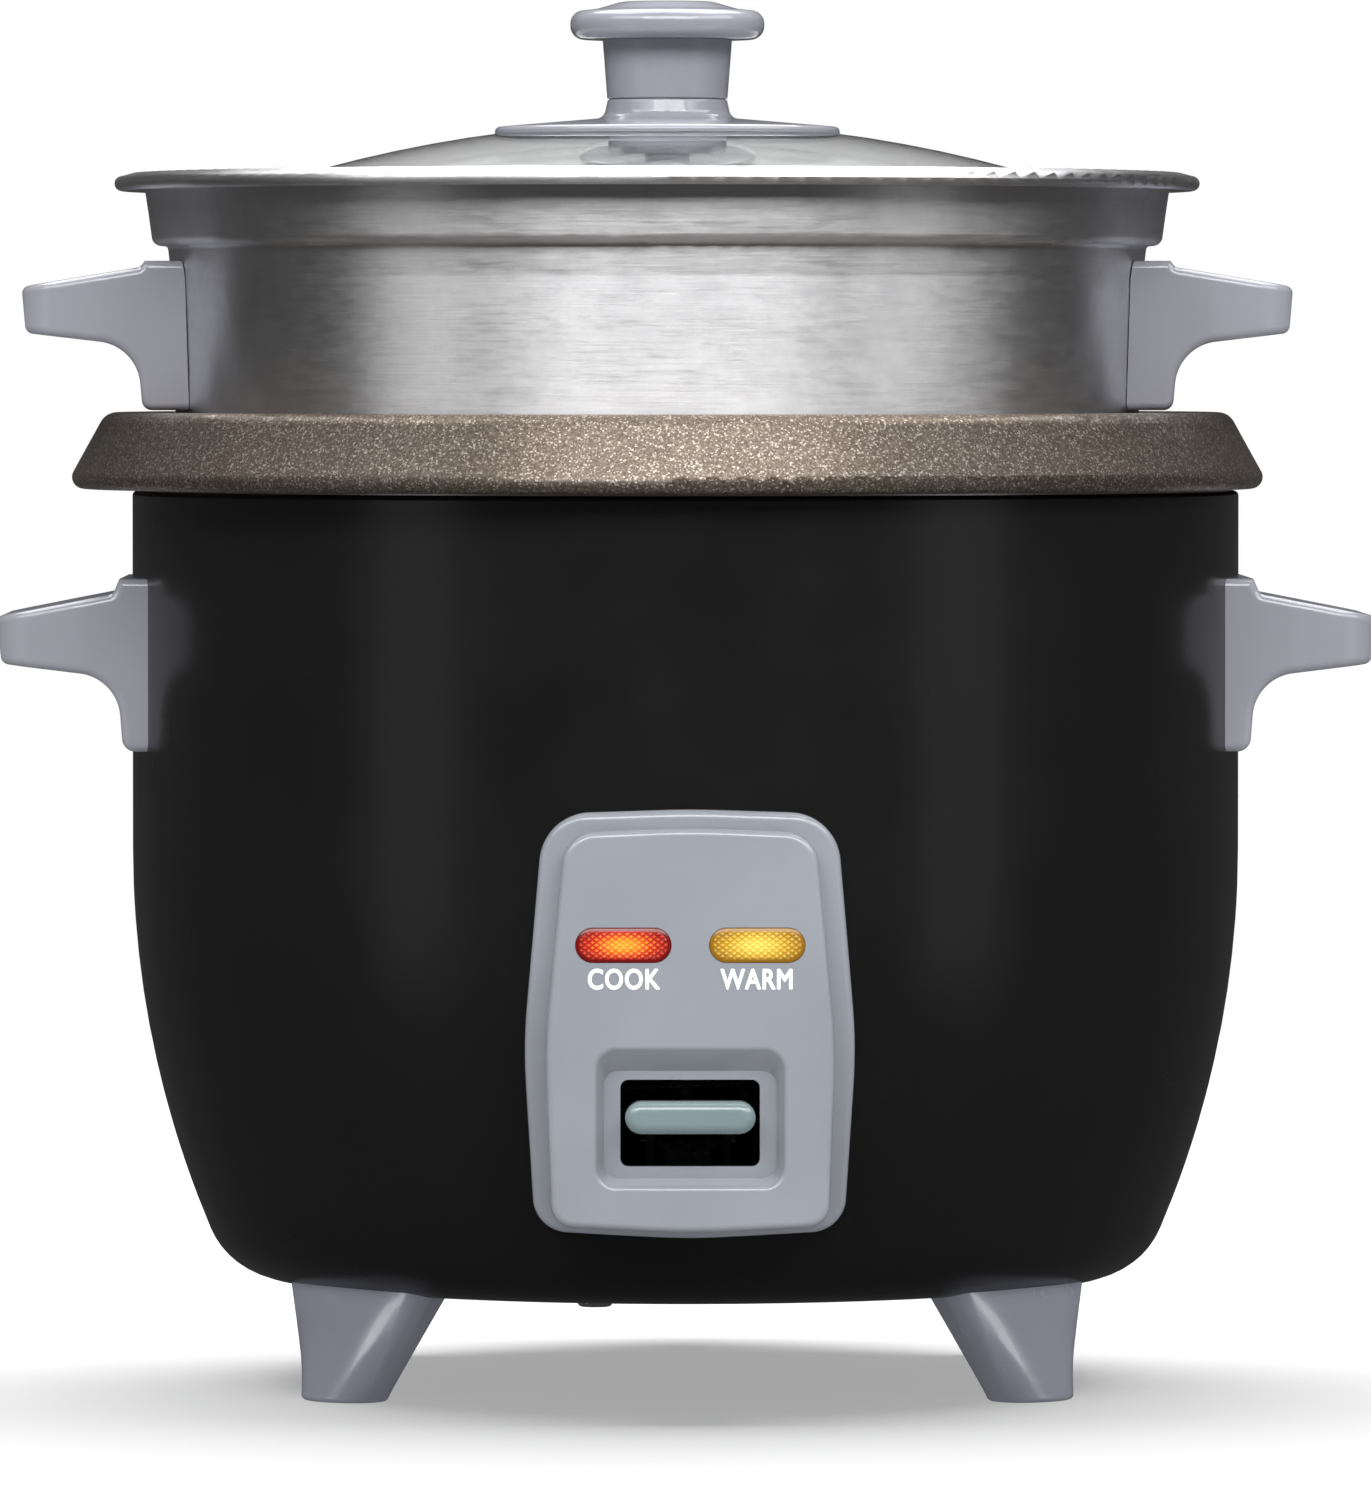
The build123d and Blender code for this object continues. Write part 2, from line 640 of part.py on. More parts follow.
pin_points = polar_points(ELEMENT_R, (105, 75))
with BuildPart() as heating_element:
    with BuildLine():
        ring = CenterArc((0, 0, ELEMENT_Z), ELEMENT_R, 105, 330)
    with BuildSketch(Plane(origin=ring @ 0, z_dir=ring % 0)):
        Circle(ELEMENT_TUBE_R)
    sweep()
    with BuildSketch(Plane.XY.offset(ELEMENT_Z)):
        with Locations(*pin_points):
            Circle(2.6)
    extrude(amount=-18)
    with BuildSketch(Plane.XY.offset(ELEMENT_Z - 18)):
        with Locations(*pin_points):
            Circle(1.3)
    extrude(amount=-6)
save(heating_element.part, "heating_element")

with BuildPart() as plate_standoffs:
    with BuildSketch(Plane.XY.offset(liner_floor_top)):
        with PolarLocations(STANDOFF_R, 3, start_angle=STANDOFF_ANGLES[0]):
            Circle(4)
            Circle(2.0 + HOLE_CLEARANCE, mode=Mode.SUBTRACT)
    extrude(amount=STANDOFF_TOP_Z - liner_floor_top)
save(plate_standoffs.part, "plate_standoffs")

screws(
    [
        Plane(origin=(x, y, LINER_FLOOR_Z - LINER_T / 2), z_dir=(0, 0, -1))
        for x, y in polar_points(STANDOFF_R, STANDOFF_ANGLES)
    ],
    9.5,
    "plate_screws",
    head_r=3.4,
    shaft_r=2.0,
)

# ------------------------------------------------------------------ heat sensor and magnet
SENSOR_TOP_Z = 71.45
FERRITE_BOTTOM_Z = 66.0
MAGNET_TOP_Z = 57.4
MAGNET_FLANGE_Z = 48.0
BRACKET_DISC_Z = 40.0
BRACKET_DISC_T = 1.5
ROD_R = 2.0

with BuildPart() as sensor_cap:
    add(
        turned(
            (0, SENSOR_TOP_Z, 0),
            (17.5, SENSOR_TOP_Z, 1.4),
            (17.5, 60.0, 0.3),
            (16.6, 60.0, 0.3),
            (16.6, SENSOR_TOP_Z - 1, 0),
            (0, SENSOR_TOP_Z - 1, 0),
        )
    )
save(sensor_cap.part, "sensor_cap")

with BuildPart() as sensor_ferrite:
    with BuildSketch(Plane.XY.offset(FERRITE_BOTTOM_Z)):
        Circle(16.55)
    extrude(amount=SENSOR_TOP_Z - 1 - FERRITE_BOTTOM_Z)
save(sensor_ferrite.part, "sensor_ferrite")

with BuildPart() as sensor_bracket:
    with BuildSketch(Plane.XY.offset(BRACKET_DISC_Z)):
        Circle(18)
        Rectangle(48, 12)
        Circle(ROD_R + 0.6, mode=Mode.SUBTRACT)
    extrude(amount=BRACKET_DISC_T)
    with BuildSketch(Plane.XZ):
        with BuildLine():
            leg = FilletPolyline((18, 40.75), (24, 40.75), (24, 63.55), (36, 63.55), radius=2)
        trace(leg, line_width=BRACKET_DISC_T)
    extrude(amount=6, both=True)
    mirror(about=Plane.YZ)
    with BuildSketch(Plane.XY.offset(62)):
        with Locations((-BRACKET_SCREW_X, 0), (BRACKET_SCREW_X, 0)):
            Circle(SCREW_R + 0.2)
    extrude(amount=3, mode=Mode.SUBTRACT)
save(sensor_bracket.part, "sensor_bracket")

screws(
    [Plane(origin=(x, 0, 62.8), z_dir=(0, 0, -1)) for x in (-BRACKET_SCREW_X, BRACKET_SCREW_X)],
    5.0,
    "sensor_bracket_screws",
)

with BuildPart() as magnet:
    add(
        turned(
            (0, 26.0, 0),
            (ROD_R, 26.0, 0.4),
            (ROD_R, 30.6, 0),
            (5.5, 30.6, 0.3),
            (5.5, 32.1, 0.3),
            (ROD_R, 32.1, 0),
            (ROD_R, MAGNET_FLANGE_Z, 0),
            (12.0, MAGNET_FLANGE_Z, 0.3),
            (12.0, MAGNET_FLANGE_Z + 1.5, 0.3),
            (9.0, MAGNET_FLANGE_Z + 1.5, 0),
            (9.0, MAGNET_TOP_Z, 0.5),
            (0, MAGNET_TOP_Z, 0),
        )
    )
save(magnet.part, "magnet")


def spring(bottom_z, top_z, radius, wire_r, turns):
    """A compression spring about Z with its coil centre line between the two heights."""
    height = top_z - bottom_z
    with BuildPart() as coil:
        with BuildLine():
            wire = Helix(pitch=height / turns, height=height, radius=radius, center=(0, 0, bottom_z))
        with BuildSketch(Plane(origin=wire @ 0, z_dir=wire % 0)):
            Circle(wire_r)
        sweep(is_frenet=True)
    return coil.part


magnet_spring = spring(MAGNET_FLANGE_Z + 2.1, FERRITE_BOTTOM_Z - 0.6, 10.5, 0.5, 5)
save(magnet_spring, "magnet_spring")
sensor_spring = spring(BRACKET_DISC_Z + BRACKET_DISC_T + 0.7, FERRITE_BOTTOM_Z - 0.7, 14.6, 0.6, 6)
save(sensor_spring, "sensor_spring")

with BuildPart() as keep_warm_thermostat:
    add(turned((0, 58.0, 0), (6.0, 58.0, 0.8), (6.0, 62.0, 0), (6.8, 62.0, 0.2), (6.8, 64.2, 0.2), (0, 64.2, 0)))
save(keep_warm_thermostat.part.moved(Location((0, 33, 0))), "keep_warm_thermostat")

with BuildPart() as thermal_fuse:
    with BuildSketch(Plane.YZ):
        with Locations((-33, 61.7)):
            Circle(2.5)
    extrude(amount=9, both=True)
    with BuildSketch(Plane.YZ):
        with Locations((-33, 61.7)):
            Circle(0.7)
    extrude(amount=14, both=True)
save(thermal_fuse.part, "thermal_fuse")

# ------------------------------------------------------------------ power inlet at the rear
INLET_FACE_Y = 97.0
with BuildPart() as power_inlet:
    with BuildSketch(Plane.XZ.offset(-INLET_FACE_Y)):
        with Locations((0, INLET_Z)):
            RectangleRounded(48, 28, 6)
    extrude(amount=16)
    fillet(power_inlet.faces().sort_by(Axis.Y)[-1].edges(), 1.0)
    add(outer_space, mode=Mode.SUBTRACT)
    with BuildSketch(Plane.XZ.offset(-(INLET_FACE_Y - 1))):
        with Locations((0, INLET_Z)):
            Rectangle(2 * INLET_HALF[0], 2 * INLET_HALF[1])
    extrude(amount=30)
    with BuildSketch(Plane.XZ.offset(-INLET_FACE_Y)):
        with Locations((0, INLET_Z)):
            RectangleRounded(25, 17, 4)
    extrude(amount=20, mode=Mode.SUBTRACT)
    with BuildSketch(Plane.XZ.offset(-(INLET_FACE_Y + 1))):
        with Locations((-7, INLET_Z - 2), (0, INLET_Z + 3), (7, INLET_Z - 2)):
            Rectangle(2.1, 4.1)
        with Locations((-INLET_SCREW_X, INLET_Z), (INLET_SCREW_X, INLET_Z)):
            Circle(SCREW_R + HOLE_CLEARANCE)
    extrude(amount=40, mode=Mode.SUBTRACT)
save(power_inlet.part, "power_inlet")

with BuildPart() as inlet_pins:
    with BuildSketch(Plane.XZ.offset(-60)):
        with Locations((-7, INLET_Z - 2), (0, INLET_Z + 3), (7, INLET_Z - 2)):
            Rectangle(2, 4)
    extrude(amount=-28)
save(inlet_pins.part, "inlet_pins")

screws([Plane(origin=(x, INLET_FACE_Y, INLET_Z), z_dir=(0, 1, 0)) for x in (-INLET_SCREW_X, INLET_SCREW_X)], 12.0, "inlet_screws")

# ------------------------------------------------------------------ cooking pot
pot_middle_z = POT_BOTTOM_Z + POT_T / 2
rim_middle_z = POT_RIM_Z - POT_T / 2
RIM_TURN_Z = 158.1  # the rim's outer edge turns inward at this height
with BuildPart() as cooking_pot:
    add(
        sheet_ring(
            (
                (102.6, RIM_TURN_Z),
                (105.1, RIM_TURN_Z),
                (98.5, rim_middle_z),
                (89.75, rim_middle_z),
                (89.75, 164.25),
                (82.8, 164.25),
                (81.25, 90.0),
                (80.9, pot_middle_z),
                (0, pot_middle_z),
            ),
            (1.3, 2.5, 1.6, 1.2, 1.2, 30, 12),
            POT_T,
        )
    )
save(cooking_pot.part, "cooking_pot", POT_SHIFT_X)

# ------------------------------------------------------------------ steamer basket
BASKET_FLOOR_Z = 140.4
LEDGE_Z = 200.45
CURL_R, CURL_Z, CURL_TUBE_R = 94.3, 211.0, 1.3
BASKET_RIVET_Z = 184.0
BASKET_RIVET_Y = 12.0
RIVET_R = 1.8

with BuildPart() as steamer_basket:
    add(
        sheet_ring(
            (
                (CURL_R, CURL_Z + 0.9),
                (91.4, 212.7),
                (90.0, 210.9),
                (88.5, LEDGE_Z),
                (85.9, LEDGE_Z),
                (85.2, 194.4),
                (84.5, 170.0),
                (84.3, 165.45),
                (79.2, 165.45),
                (79.2, BASKET_FLOOR_Z),
                (0, BASKET_FLOOR_Z),
            ),
            (1.5, 1.5, 1.3, 1.2, 6, 30, 1.0, 1.5, 5),
            STEAMER_T,
        )
    )
    with BuildSketch(Plane.XZ):
        with Locations((CURL_R, CURL_Z)):
            Circle(CURL_TUBE_R)
    revolve(axis=Axis.Z)
    with BuildSketch(Plane.XY.offset(BASKET_FLOOR_Z - 1)):
        Circle(2.5)
        for ring_number in range(1, 7):
            with PolarLocations(11.5 * ring_number, 6 * ring_number):
                Circle(2.5)
    extrude(amount=2, mode=Mode.SUBTRACT)
    with BuildSketch(Plane.YZ):
        with Locations((-BASKET_RIVET_Y, BASKET_RIVET_Z), (BASKET_RIVET_Y, BASKET_RIVET_Z)):
            Circle(RIVET_R + HOLE_CLEARANCE)
    extrude(amount=100, both=True, mode=Mode.SUBTRACT)
save(steamer_basket.part, "steamer_basket", STEAMER_SHIFT_X)

STEAMER_HANDLE_PROFILE = (
    (80.0, 171.2, 0),
    (90.0, 171.2, 1.8),
    (91.0, 182.4, 8),
    (110.6, 184.7, 0),
    (111.4, 192.8, 0),
    (90.4, 196.2, 1.2),
    (89.6, 197.3, 0),
    (80.0, 197.3, 0),
)

# The space inside the basket's outer wall, a hair larger so that the handles only touch it.
basket_space = turned(
    (0, 160, 0), (84.8, 160, 0), (84.98, 170, 0), (85.68, 194.2, 0), (86.35, 199.3, 0), (0, 199.3, 0)
)


def basket_handle(label, side):
    """One handle of the steamer basket, with the two bosses its rivets run through."""
    blank = handle(STEAMER_HANDLE_PROFILE, 23.0, 111.4, 97, 1.5)
    with BuildPart() as grip:
        add(blank)
        with BuildSketch(Plane.YZ.offset(80)):
            with Locations((-BASKET_RIVET_Y, BASKET_RIVET_Z), (BASKET_RIVET_Y, BASKET_RIVET_Z)):
                Circle(4.5)
        extrude(amount=6.5)
        add(basket_space, mode=Mode.SUBTRACT)
        with BuildSketch(Plane.YZ.offset(80)):
            with Locations((-BASKET_RIVET_Y, BASKET_RIVET_Z), (BASKET_RIVET_Y, BASKET_RIVET_Z)):
                Circle(RIVET_R + HOLE_CLEARANCE)
        extrude(amount=8.6, mode=Mode.SUBTRACT)
    save(grip.part.rotate(Axis.Z, side), label, STEAMER_SHIFT_X)


basket_handle("steamer_handle_right", 0)
basket_handle("steamer_handle_left", 180)

with BuildPart() as steamer_rivets:
    with BuildSketch(Plane.YZ.offset(82.0)):
        with Locations((-BASKET_RIVET_Y, BASKET_RIVET_Z), (BASKET_RIVET_Y, BASKET_RIVET_Z)):
            Circle(3.2)
    extrude(amount=-1.2)
    with BuildSketch(Plane.YZ.offset(82.0)):
        with Locations((-BASKET_RIVET_Y, BASKET_RIVET_Z), (BASKET_RIVET_Y, BASKET_RIVET_Z)):
            Circle(RIVET_R)
    extrude(amount=6.0)
    mirror(about=Plane.YZ)
save(steamer_rivets.part, "steamer_rivets", STEAMER_SHIFT_X)

# ------------------------------------------------------------------ lid
LID_CENTRE_Z = LID_TOP_Z - LID_SPHERE_R
LID_HOLE_R = 3.2


def sphere_height(radius, at):
    """Height of a sphere about the lid's centre of curvature at a distance from the axis."""
    return LID_CENTRE_Z + math.sqrt(radius**2 - at**2)


with BuildPart() as lid_glass:
    inner_r = LID_SPHERE_R - GLASS_T
    with BuildSketch(Plane.XZ):
        with BuildLine():
            middle = LID_EDGE_R / 2
            RadiusArc(
                (LID_HOLE_R, sphere_height(LID_SPHERE_R, LID_HOLE_R)),
                (LID_EDGE_R, sphere_height(LID_SPHERE_R, LID_EDGE_R)),
                LID_SPHERE_R,
            )
            Line(
                (LID_EDGE_R, sphere_height(LID_SPHERE_R, LID_EDGE_R)), (LID_EDGE_R, sphere_height(inner_r, LID_EDGE_R))
            )
            RadiusArc(
                (LID_EDGE_R, sphere_height(inner_r, LID_EDGE_R)), (LID_HOLE_R, sphere_height(inner_r, LID_HOLE_R)), -inner_r
            )
            Line(
                (LID_HOLE_R, sphere_height(inner_r, LID_HOLE_R)), (LID_HOLE_R, sphere_height(LID_SPHERE_R, LID_HOLE_R))
            )
        make_face()
    revolve(axis=Axis.Z)
    circles = lid_glass.edges().filter_by(GeomType.CIRCLE)
    fillet(circles.filter_by(lambda edge: abs(edge.radius - LID_EDGE_R) < 0.01), 1.2)
save(lid_glass.part, "lid_glass", LID_SHIFT_X)

KNOB_SCREW_R = 2.0
with BuildPart() as knob_base:
    add(
        turned(
            (KNOB_SCREW_R + HOLE_CLEARANCE, 220.0, 0),
            (30.4, 218.6, 0),
            (30.4, 221.0, 0.9),
            (11.2, 222.6, 1.8),
            (10.5, 225.9, 0.5),
            (KNOB_SCREW_R + HOLE_CLEARANCE, 225.9, 0),
        )
    )
    add(Sphere(LID_SPHERE_R, mode=Mode.PRIVATE).moved(Location((0, 0, LID_CENTRE_Z))), mode=Mode.SUBTRACT)
save(knob_base.part, "knob_base", LID_SHIFT_X)

with BuildPart() as knob_neck:
    add(
        turned(
            (KNOB_SCREW_R + HOLE_CLEARANCE, 225.95, 0),
            (10.6, 225.95, 0.3),
            (11.4, 236.35, 0),
            (KNOB_SCREW_R + HOLE_CLEARANCE, 236.35, 0),
        )
    )
save(knob_neck.part, "knob_neck", LID_SHIFT_X)

with BuildPart() as knob_cap:
    add(
        turned(
            (0, 236.4, 0),
            (17.1, 236.4, 2.4),
            (17.1, 241.3, 2.3),
            (12.5, 241.8, 4),
            (8.0, 243.1, 6),
            (0, 243.2, 0),
        )
    )
    with BuildSketch(Plane.XY.offset(236.4)):
        Circle(KNOB_SCREW_R + HOLE_CLEARANCE)
    extrude(amount=3.6, mode=Mode.SUBTRACT)
save(knob_cap.part, "knob_cap", LID_SHIFT_X)

lid_under_z = sphere_height(LID_SPHERE_R - GLASS_T, 8.0) - 0.05
with BuildPart() as knob_washer:
    with BuildSketch(Plane.XY.offset(lid_under_z)):
        Circle(8)
        Circle(KNOB_SCREW_R + 0.2, mode=Mode.SUBTRACT)
    extrude(amount=-1.2)
save(knob_washer.part, "knob_washer", LID_SHIFT_X)
screws(
    [Plane(origin=(LID_SHIFT_X, 0, lid_under_z - 1.25), z_dir=(0, 0, -1))],
    21.5,
    "knob_screw",
    head_r=4.0,
    shaft_r=KNOB_SCREW_R,
)
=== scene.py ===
"""Looks of the drum rice cooker: materials, printed words, lamp prisms, floor, lights and camera.

Metres, in the CAD's frame: +Z up, front towards -Y, the table at z = 0.
"""

import json
import math

import bpy
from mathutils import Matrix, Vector


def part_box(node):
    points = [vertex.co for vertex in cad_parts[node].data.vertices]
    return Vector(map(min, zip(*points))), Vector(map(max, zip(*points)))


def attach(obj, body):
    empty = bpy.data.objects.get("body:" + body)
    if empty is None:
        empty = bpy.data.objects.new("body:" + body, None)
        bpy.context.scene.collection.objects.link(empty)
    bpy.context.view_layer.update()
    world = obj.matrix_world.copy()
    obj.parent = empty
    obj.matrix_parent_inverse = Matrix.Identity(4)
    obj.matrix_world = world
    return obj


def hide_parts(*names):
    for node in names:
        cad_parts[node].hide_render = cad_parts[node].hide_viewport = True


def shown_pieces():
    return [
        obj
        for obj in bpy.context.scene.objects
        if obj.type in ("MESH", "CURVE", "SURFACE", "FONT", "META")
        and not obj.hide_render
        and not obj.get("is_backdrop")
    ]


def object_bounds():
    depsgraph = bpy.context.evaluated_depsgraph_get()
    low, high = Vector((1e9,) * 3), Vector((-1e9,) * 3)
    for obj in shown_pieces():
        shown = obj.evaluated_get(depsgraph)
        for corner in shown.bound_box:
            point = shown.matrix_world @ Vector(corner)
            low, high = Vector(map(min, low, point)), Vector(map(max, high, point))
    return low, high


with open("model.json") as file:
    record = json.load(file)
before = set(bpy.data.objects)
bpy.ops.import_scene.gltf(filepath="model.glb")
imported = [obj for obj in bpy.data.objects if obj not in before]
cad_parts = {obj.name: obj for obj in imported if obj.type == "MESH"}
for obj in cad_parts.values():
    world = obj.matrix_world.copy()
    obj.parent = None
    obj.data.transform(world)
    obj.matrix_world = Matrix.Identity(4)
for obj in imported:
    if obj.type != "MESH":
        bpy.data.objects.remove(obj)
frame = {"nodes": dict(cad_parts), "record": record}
cad_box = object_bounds()
nodes = frame["nodes"]


# ------------------------------------------------------------------ node helpers
ARC_RADIUS = 0.09  # about the radius of the spun parts: a turn times this is an arc in metres
QUARTER_TURN = 0.25


class Shader:
    """A small builder for one material's node tree."""

    def __init__(self, name, **values):
        self.material = bpy.data.materials.new(name)
        self.material.use_nodes = True
        self.tree = self.material.node_tree
        self.bsdf = self.tree.nodes["Principled BSDF"]
        for socket, value in values.items():
            self.bsdf.inputs[socket.replace("_", " ")].default_value = value

    def node(self, kind, **settings):
        made = self.tree.nodes.new(kind)
        for key, value in settings.items():
            setattr(made, key, value)
        return made

    def link(self, source, target):
        self.tree.links.new(source, target)

    def place(self):
        return self.node("ShaderNodeTexCoord").outputs["Object"]

    def stretched(self, scale, vector=None):
        """The object coordinates, or another vector, scaled differently along each axis."""
        mapping = self.node("ShaderNodeMapping")
        mapping.inputs["Scale"].default_value = scale
        self.link(vector or self.place(), mapping.inputs["Vector"])
        return mapping.outputs["Vector"]

    def around_z(self, node):
        """Coordinates that run around a CAD node's own axis: the arc, the distance from it, the height."""
        low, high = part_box(node)
        centred = self.node("ShaderNodeVectorMath", operation="SUBTRACT")
        centred.inputs[1].default_value = ((low.x + high.x) / 2, (low.y + high.y) / 2, 0.0)
        self.link(self.place(), centred.inputs[0])
        split = self.node("ShaderNodeSeparateXYZ")
        self.link(centred.outputs[0], split.inputs[0])
        angle = self.math("ARCTAN2", split.outputs["Y"], split.outputs["X"])
        arc = self.math("MULTIPLY", angle, ARC_RADIUS)
        across = self.math("MULTIPLY", split.outputs["X"], split.outputs["X"])
        along = self.math("MULTIPLY", split.outputs["Y"], split.outputs["Y"])
        radius = self.math("SQRT", self.math("ADD", across, along))
        joined = self.node("ShaderNodeCombineXYZ")
        for socket, value in zip(joined.inputs, (arc, radius, split.outputs["Z"])):
            self.link(value, socket)
        return joined.outputs[0]

    def math(self, operation, *values):
        made = self.node("ShaderNodeMath", operation=operation)
        for socket, value in zip(made.inputs, values):
            if isinstance(value, (int, float)):
                socket.default_value = value
            else:
                self.link(value, socket)
        return made.outputs[0]

    def noise(self, scale, detail=3.0, vector=None, rough=0.5):
        made = self.node("ShaderNodeTexNoise")
        made.inputs["Scale"].default_value = scale
        made.inputs["Detail"].default_value = detail
        made.inputs["Roughness"].default_value = rough
        self.link(vector or self.place(), made.inputs["Vector"])
        return made.outputs["Fac"]

    def spread(self, value, low, high, start=0.3, end=0.7):
        """The value's range start..end mapped to low..high."""
        made = self.node("ShaderNodeMapRange")
        for socket, number in zip(("From Min", "From Max", "To Min", "To Max"), (start, end, low, high)):
            made.inputs[socket].default_value = number
        self.link(value, made.inputs["Value"])
        return made.outputs["Result"]

    def ramp(self, value, *stops):
        made = self.node("ShaderNodeValToRGB")
        for number, (position, colour) in enumerate(stops):
            if number < 2:
                stop = made.color_ramp.elements[number]
                stop.position = position
            else:
                stop = made.color_ramp.elements.new(position)
            stop.color = (*colour, 1.0)
        self.link(value, made.inputs[0])
        return made.outputs["Color"]

    def colour(self, output):
        self.link(output, self.bsdf.inputs["Base Color"])
        return self

    def rough(self, output):
        self.link(output, self.bsdf.inputs["Roughness"])
        return self

    def brushed_around(self, amount):
        """Stretches the highlight up and down, as rings brushed around the Z axis do."""
        along = self.node("ShaderNodeTangent", direction_type="RADIAL", axis="Z")
        self.link(along.outputs[0], self.bsdf.inputs["Tangent"])
        self.bsdf.inputs["Anisotropic"].default_value = amount
        self.bsdf.inputs["Anisotropic Rotation"].default_value = QUARTER_TURN
        return self

    def bump(self, height, distance, strength=1.0):
        made = self.node("ShaderNodeBump")
        made.inputs["Distance"].default_value = distance
        made.inputs["Strength"].default_value = strength
        self.link(height, made.inputs["Height"])
        previous = self.bsdf.inputs["Normal"]
        if previous.is_linked:
            self.link(previous.links[0].from_socket, made.inputs["Normal"])
        self.link(made.outputs[0], previous)
        return self


def shade(colour, factor):
    return tuple(min(1.0, channel * factor) for channel in colour)


def paint(name, colour, low, high, grain=0.00003):
    """Sprayed paint: a faint cloudiness, an uneven gloss and a fine orange peel."""
    shader = Shader(name)
    cloud = shader.noise(scale=18, detail=4)
    shader.colour(shader.ramp(cloud, (0.3, shade(colour, 0.85)), (0.7, shade(colour, 1.15))))
    gloss = shader.noise(scale=60, detail=3)
    shader.rough(shader.spread(gloss, low, high))
    orange_peel = shader.noise(scale=900, detail=2)
    return shader.bump(orange_peel, grain)


def plastic(name, colour, low, high):
    """Injection-moulded plastic: slow waves from the mould, a fine grain, and slightly uneven gloss."""
    shader = Shader(name, Coat_Weight=0.25, Coat_Roughness=0.08)
    cloud = shader.noise(scale=35, detail=3)
    shader.colour(shader.ramp(cloud, (0.3, shade(colour, 0.93)), (0.7, shade(colour, 1.07))))
    gloss = shader.noise(scale=120, detail=4)
    shader.rough(shader.spread(gloss, low, high))
    waves = shader.noise(scale=28, detail=1)
    shader.bump(waves, distance=0.0004, strength=0.5)
    fine_grain = shader.noise(scale=2200, detail=2)
    return shader.bump(fine_grain, distance=0.000012)


def metal(name, colour, low, high, stretch=(1.0, 1.0, 1.0)):
    """Plain metal: a grain that may be stretched into drawing or turning lines, and stains in its gloss."""
    shader = Shader(name, Metallic=1.0)
    lines = shader.noise(scale=900, detail=4, vector=shader.stretched(stretch), rough=0.6)
    stains = shader.noise(scale=40, detail=5)
    shader.colour(shader.ramp(stains, (0.25, shade(colour, 0.88)), (0.75, shade(colour, 1.06))))
    shader.rough(shader.spread(lines, low, high))
    return shader.bump(lines, distance=0.00001)


def dress(slot_name, shader):
    """Puts a material on every CAD node that the record gives this slot."""
    for part in frame["record"]["subparts"]:
        if part["material_slot"] == slot_name:
            mesh = nodes[part["node"]].data
            mesh.materials.clear()
            mesh.materials.append(shader.material)


# ------------------------------------------------------------------ materials of the CAD nodes
GREY_HANDLE = (0.25, 0.25, 0.286)
GREY_PANEL = (0.25, 0.265, 0.295)

# slot, maker, colour, smoothest and roughest gloss, and where it differs: paint's grain, metal's stretch
LOOKS = (
    ("body_paint", paint, (0.0056, 0.0056, 0.0054), 0.22, 0.28, 0.000004),
    ("handle_plastic", plastic, GREY_HANDLE, 0.14, 0.2),
    ("knob_plastic", plastic, (0.27, 0.27, 0.31), 0.1, 0.16),
    ("foot_plastic", plastic, (0.27, 0.276, 0.335), 0.2, 0.28),
    ("panel_plastic", plastic, GREY_PANEL, 0.16, 0.22),
    ("paddle_plastic", plastic, (0.17, 0.225, 0.235), 0.12, 0.2),
    ("inlet_plastic", plastic, (0.012, 0.012, 0.013), 0.35, 0.5),
    ("phenolic", plastic, (0.06, 0.02, 0.008), 0.3, 0.45),
    ("thermostat", plastic, (0.02, 0.015, 0.013), 0.35, 0.5),
    ("fuse", paint, (0.62, 0.58, 0.45), 0.3, 0.45),
    ("board", plastic, (0.02, 0.12, 0.05), 0.3, 0.4),
    ("lamp_body", plastic, (0.8, 0.77, 0.65), 0.2, 0.3),
    ("zinc_sheet", metal, (0.56, 0.57, 0.6), 0.28, 0.42, (1, 6, 1)),
    ("black_sheet", paint, (0.07, 0.07, 0.078), 0.3, 0.4),
    ("steel_sheet", metal, (0.54, 0.55, 0.56), 0.25, 0.4, (6, 1, 1)),
    ("screw_steel", metal, (0.6, 0.6, 0.62), 0.2, 0.32),
    ("lever_steel", metal, (0.55, 0.55, 0.58), 0.22, 0.35, (1, 0.1, 1)),
    ("pin_steel", metal, (0.62, 0.62, 0.63), 0.12, 0.2, (0.1, 1, 1)),
    ("brass_blades", metal, (0.78, 0.58, 0.26), 0.2, 0.32, (1, 0.1, 1)),
    ("liner_steel", metal, (0.6, 0.61, 0.62), 0.25, 0.38, (1, 1, 0.2)),
    ("cast_aluminium", metal, (0.68, 0.68, 0.69), 0.3, 0.45),
    ("element_sheath", metal, (0.2, 0.19, 0.18), 0.4, 0.6),
    ("standoff_steel", metal, (0.6, 0.6, 0.61), 0.2, 0.3),
    ("sensor_aluminium", metal, (0.74, 0.74, 0.75), 0.2, 0.32),
    ("ferrite", plastic, (0.03, 0.03, 0.033), 0.4, 0.6),
    ("magnet", metal, (0.4, 0.4, 0.42), 0.2, 0.3),
    ("spring_steel", metal, (0.5, 0.5, 0.52), 0.2, 0.3),
    ("pin_brass", metal, (0.7, 0.66, 0.55), 0.15, 0.25, (1, 0.1, 1)),
    ("rivet_aluminium", metal, (0.74, 0.74, 0.75), 0.2, 0.3),
    ("washer_steel", metal, (0.62, 0.62, 0.63), 0.15, 0.25),
    ("knob_screw_steel", metal, (0.62, 0.62, 0.63), 0.15, 0.25),
)
for slot, maker, *look in LOOKS:
    dress(slot, maker(slot, *look))


